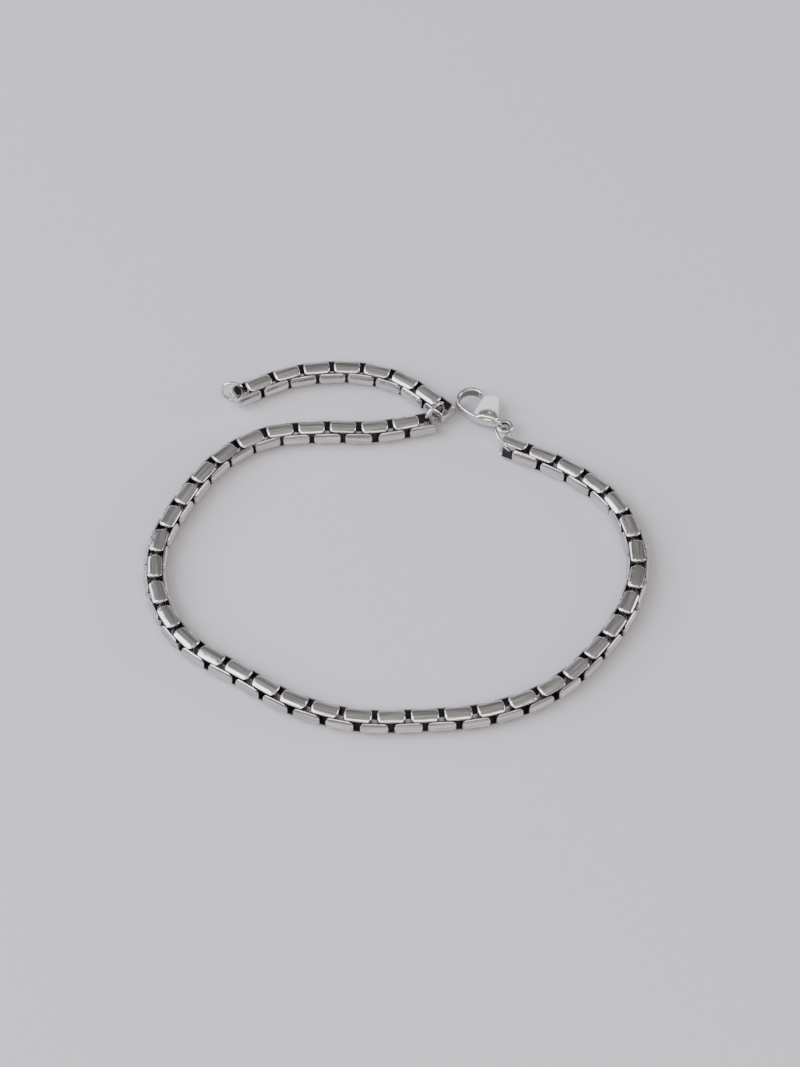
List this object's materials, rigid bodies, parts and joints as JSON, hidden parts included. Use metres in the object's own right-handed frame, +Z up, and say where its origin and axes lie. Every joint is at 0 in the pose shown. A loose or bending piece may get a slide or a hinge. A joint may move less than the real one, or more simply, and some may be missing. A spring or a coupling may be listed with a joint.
{
  "type": "chain bracelet",
  "caption": "Round box-chain bracelet lying flat, with a lobster clasp, jump rings and a free extension chain.",
  "frame": {"origin": "on the surface the bracelet lies on, under the middle of its box", "axes": "+X across the loop's width, +Y away from the viewer towards the clasp, +Z up"},
  "size_m": [0.0669, 0.0615, 0.004],
  "materials": {
    "chain_steel": "polished steel",
    "ring_steel": "polished steel wire",
    "clasp_steel": "polished steel, cast",
    "lever_steel": "polished steel, stamped"
  },
  "bodies": {
    "bracelet": {"main_chain": "chain_steel", "tail_chain": "chain_steel", "clasp_body": "clasp_steel", "lever_pin": "clasp_steel", "clasp_ring": "ring_steel", "junction_ring": "ring_steel", "tail_end_ring": "ring_steel"},
    "lever": {"clasp_lever": "lever_steel"}
  },
  "joints": [
    {"name": "lever_hinge", "type": "hinge", "parent": "bracelet", "child": "lever", "pos_m": [0.0129, 0.02113, 0.0016], "axis": [0, 0, -1], "range_deg": [0, 25], "stiffness_Nm_per_rad": 0.002, "springref_deg": -17.19}
  ]
}
